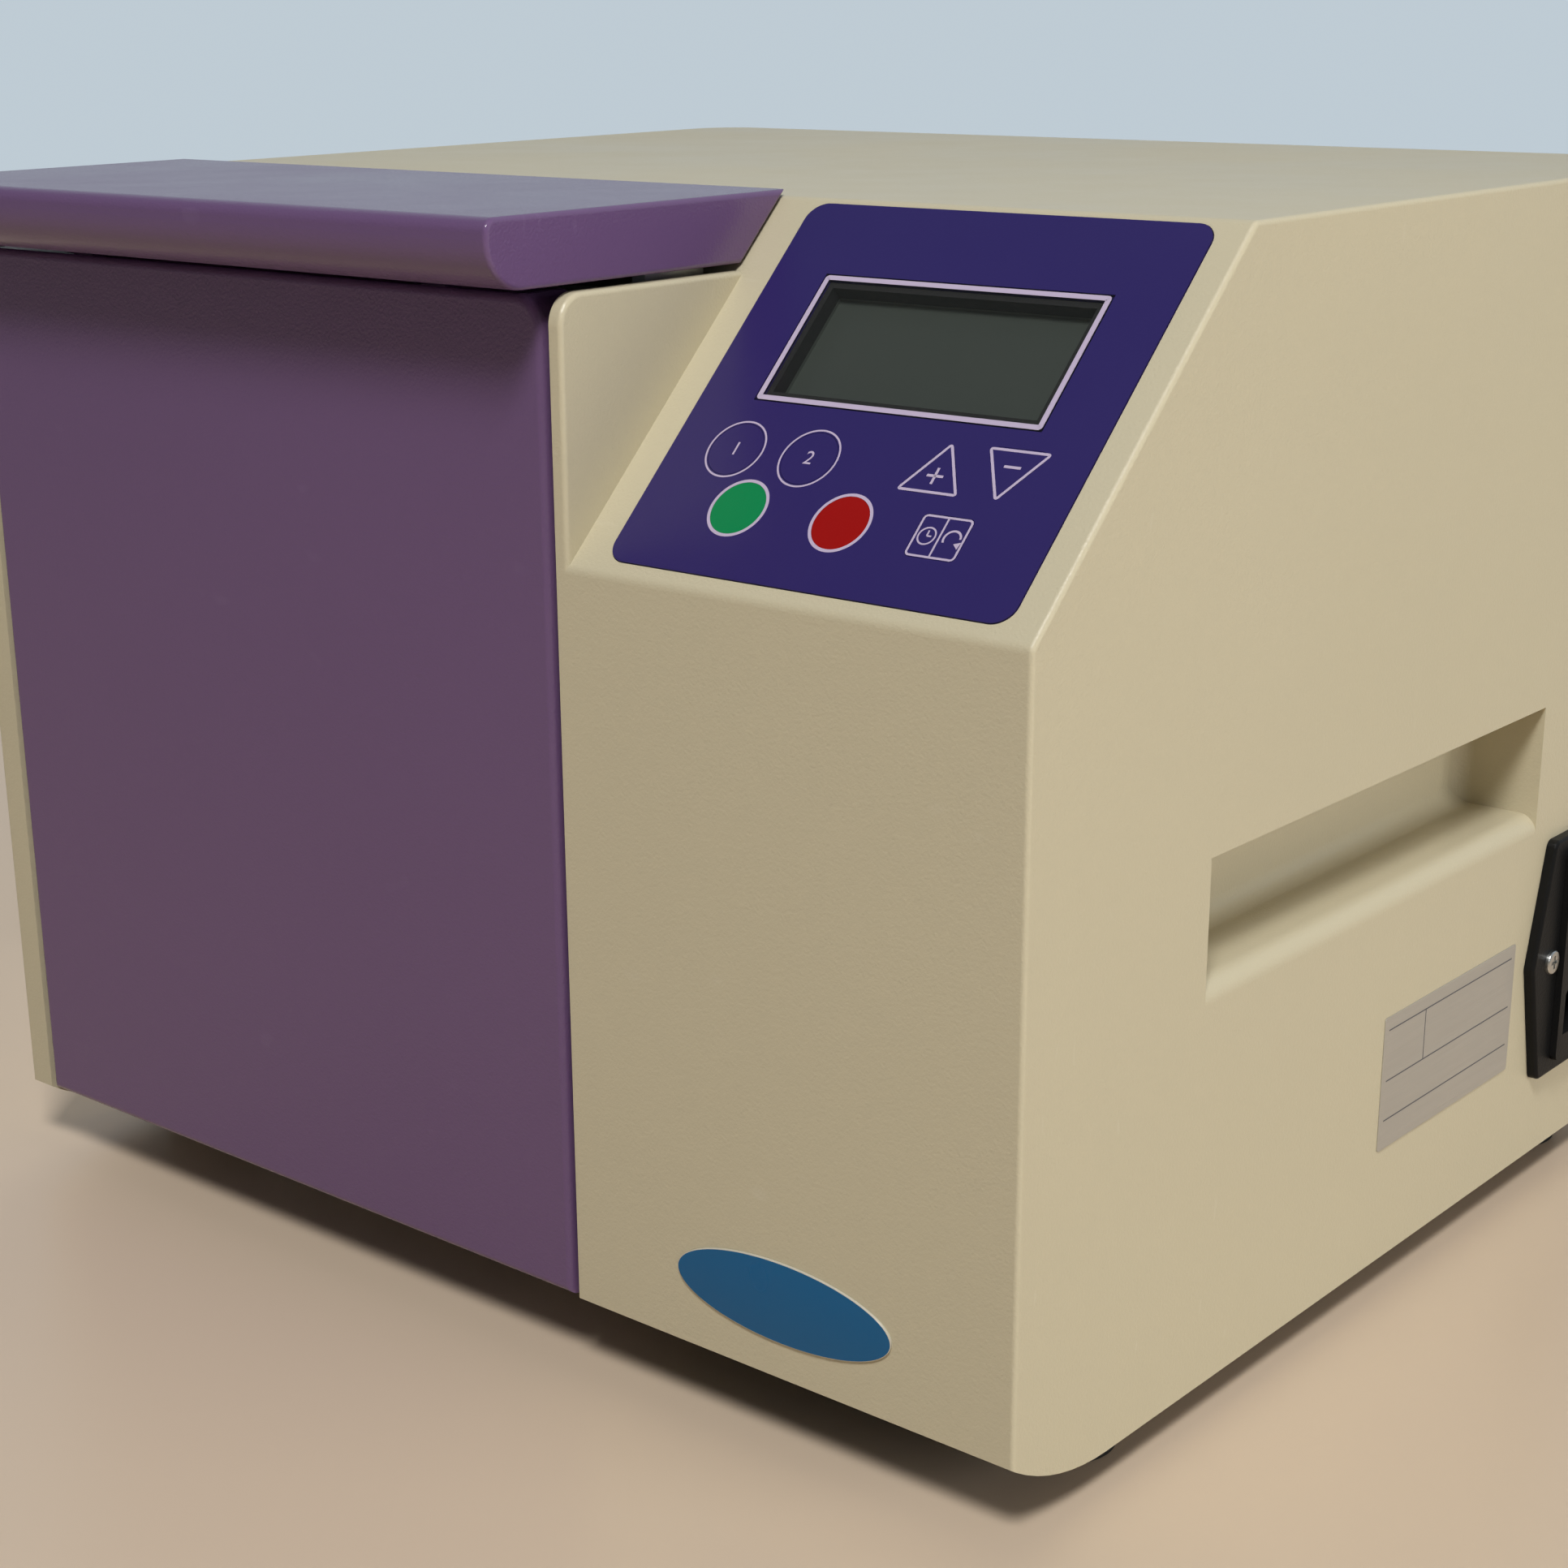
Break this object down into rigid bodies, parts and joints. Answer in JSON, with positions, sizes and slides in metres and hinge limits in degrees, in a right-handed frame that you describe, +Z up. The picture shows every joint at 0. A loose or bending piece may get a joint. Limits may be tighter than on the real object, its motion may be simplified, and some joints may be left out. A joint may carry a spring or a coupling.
{
  "type": "paddle blender homogenizer",
  "caption": "Bench-top paddle blender with a drop-down door, rocking ledge handle, bag chamber with sprung keypad control and eccentric-driven paddles.",
  "frame": {"origin": "centre of the whole object's footprint box, on the bench under the feet", "axes": "+Z up; -Y is the front with the door and keypad; +X to the right, the side with the mains inlet"},
  "size_m": [0.3601, 0.3404, 0.2805],
  "materials": {
    "cream_moulding": "fine satin moulded",
    "cream_sheet": "satin paint",
    "purple_moulding": "satin moulded",
    "keypad_film": "fine matt film",
    "green_key": "printed film",
    "red_key": "printed film",
    "film_key": "printed film",
    "clear_window": "clear",
    "display_glass": "display glass",
    "black_plastic": "fine grain",
    "switch_plastic": "gloss",
    "zinc_screw": "zinc plated",
    "zinc_sheet": "zinc plated",
    "steel_pin": "ground",
    "stainless": "brushed",
    "bronze": "machined",
    "black_rubber": "matt",
    "frame_aluminium": "machined",
    "motor_paint": "black paint",
    "circuit_board": "solder mask"
  },
  "bodies": {
    "root": {"base_plate": "zinc_sheet", "bearing_plate_left": "frame_aluminium", "bearing_plate_right": "frame_aluminium", "bush_plate": "frame_aluminium", "casing": "cream_moulding", "casing_screws": "zinc_screw", "chamber_liner": "stainless", "control_board": "circuit_board", "control_overlay": "keypad_film", "crank_bearings": "steel_pin", "display_window": "clear_window", "drive_belt": "black_rubber", "foot_left_front": "black_rubber", "foot_left_rear": "black_rubber", "foot_right_front": "black_rubber", "foot_right_rear": "black_rubber", "foot_screws": "zinc_screw", "hinge_brackets": "zinc_sheet", "inlet_module": "black_plastic", "inlet_screws": "zinc_screw", "interlock_sensor": "black_plastic", "latch_keepers": "steel_pin", "lcd_gasket": "black_rubber", "lcd_module": "display_glass", "motor": "motor_paint", "motor_bracket": "zinc_sheet", "motor_screws": "zinc_screw", "power_board": "circuit_board", "rear_panel": "cream_sheet", "rear_panel_screws": "zinc_screw", "rod_bushes": "bronze", "rod_seals": "black_rubber"},
    "door": {"door_panel": "purple_moulding", "door_inner_plate": "stainless", "door_plate_screws": "zinc_screw", "hinge_pins": "steel_pin", "handle_pivot_pins": "steel_pin", "door_magnet": "steel_pin"},
    "handle": {"door_handle": "purple_moulding", "latch_hooks": "stainless"},
    "paddle_left_body": {"paddle_left": "stainless", "push_rod_left": "steel_pin", "guide_rod_left": "steel_pin"},
    "paddle_right_body": {"paddle_right": "stainless", "push_rod_right": "steel_pin", "guide_rod_right": "steel_pin"},
    "crank": {"crankshaft": "steel_pin", "driven_pulley": "frame_aluminium"},
    "con_rod_left_body": {"con_rod_left": "frame_aluminium"},
    "con_rod_right_body": {"con_rod_right": "frame_aluminium"},
    "motor_rotor": {"motor_pulley": "steel_pin"},
    "fuse_drawer_body": {"fuse_drawer": "black_plastic"},
    "rocker_body": {"rocker_switch": "switch_plastic"},
    "key_start_body": {"key_start": "green_key"},
    "key_stop_body": {"key_stop": "red_key"},
    "key_plus_body": {"key_plus": "film_key"},
    "key_minus_body": {"key_minus": "film_key"},
    "key_select_body": {"key_select": "film_key"},
    "key_mode_one_body": {"key_mode_one": "film_key"},
    "key_mode_two_body": {"key_mode_two": "film_key"}
  },
  "joints": [
    {"name": "door_hinge", "type": "hinge", "parent": "root", "child": "door", "pos_m": [0, -0.1417, 0.027], "axis": [1, 0, 0], "range_deg": [0, 75]},
    {"name": "handle_rock", "type": "hinge", "parent": "door", "child": "handle", "pos_m": [0, -0.1412, 0.254], "axis": [1, 0, 0], "range_deg": [0, 18]},
    {"name": "paddle_left_slide", "type": "slide", "parent": "root", "child": "paddle_left_body", "axis": [0, -1, 0], "range_m": [-0.01, 0.01]},
    {"name": "paddle_right_slide", "type": "slide", "parent": "root", "child": "paddle_right_body", "axis": [0, -1, 0], "range_m": [-0.01, 0.01]},
    {"name": "crank_spin", "type": "hinge", "parent": "root", "child": "crank", "pos_m": [0, 0.0383, 0.139], "axis": [1, 0, 0], "continuous": true},
    {"name": "con_rod_left_swing", "type": "hinge", "parent": "crank", "child": "con_rod_left_body", "pos_m": [0, 0.0383, 0.149], "axis": [1, 0, 0], "continuous": true},
    {"name": "con_rod_right_swing", "type": "hinge", "parent": "crank", "child": "con_rod_right_body", "pos_m": [0, 0.0383, 0.129], "axis": [1, 0, 0], "continuous": true},
    {"name": "motor_spin", "type": "hinge", "parent": "root", "child": "motor_rotor", "pos_m": [0, 0.1123, 0.067], "axis": [1, 0, 0], "continuous": true},
    {"name": "fuse_drawer_slide", "type": "slide", "parent": "root", "child": "fuse_drawer_body", "axis": [1, 0, 0], "range_m": [0, 0.016]},
    {"name": "rocker_tilt", "type": "hinge", "parent": "root", "child": "rocker_body", "pos_m": [0.17694, 0.1207, 0.0875], "axis": [0, -1, 0], "range_deg": [0, 18]},
    {"name": "key_start_press", "type": "slide", "parent": "root", "child": "key_start_body", "axis": [0, 0.6988, -0.7153], "range_m": [0, 0.0005], "stiffness_N_per_m": 300},
    {"name": "key_stop_press", "type": "slide", "parent": "root", "child": "key_stop_body", "axis": [0, 0.6988, -0.7153], "range_m": [0, 0.0005], "stiffness_N_per_m": 300},
    {"name": "key_plus_press", "type": "slide", "parent": "root", "child": "key_plus_body", "axis": [0, 0.6988, -0.7153], "range_m": [0, 0.0005], "stiffness_N_per_m": 300},
    {"name": "key_minus_press", "type": "slide", "parent": "root", "child": "key_minus_body", "axis": [0, 0.6988, -0.7153], "range_m": [0, 0.0005], "stiffness_N_per_m": 300},
    {"name": "key_select_press", "type": "slide", "parent": "root", "child": "key_select_body", "axis": [0, 0.6988, -0.7153], "range_m": [0, 0.0005], "stiffness_N_per_m": 300},
    {"name": "key_mode_one_press", "type": "slide", "parent": "root", "child": "key_mode_one_body", "axis": [0, 0.6988, -0.7153], "range_m": [0, 0.0005], "stiffness_N_per_m": 300},
    {"name": "key_mode_two_press", "type": "slide", "parent": "root", "child": "key_mode_two_body", "axis": [0, 0.6988, -0.7153], "range_m": [0, 0.0005], "stiffness_N_per_m": 300}
  ],
  "couplings": [
    {"joint": "paddle_right_slide", "follows": "paddle_left_slide", "ratio": -1},
    {"joint": "con_rod_left_swing", "follows": "crank_spin", "ratio": -1},
    {"joint": "con_rod_right_swing", "follows": "crank_spin", "ratio": -1},
    {"joint": "motor_spin", "follows": "crank_spin", "ratio": 3}
  ]
}
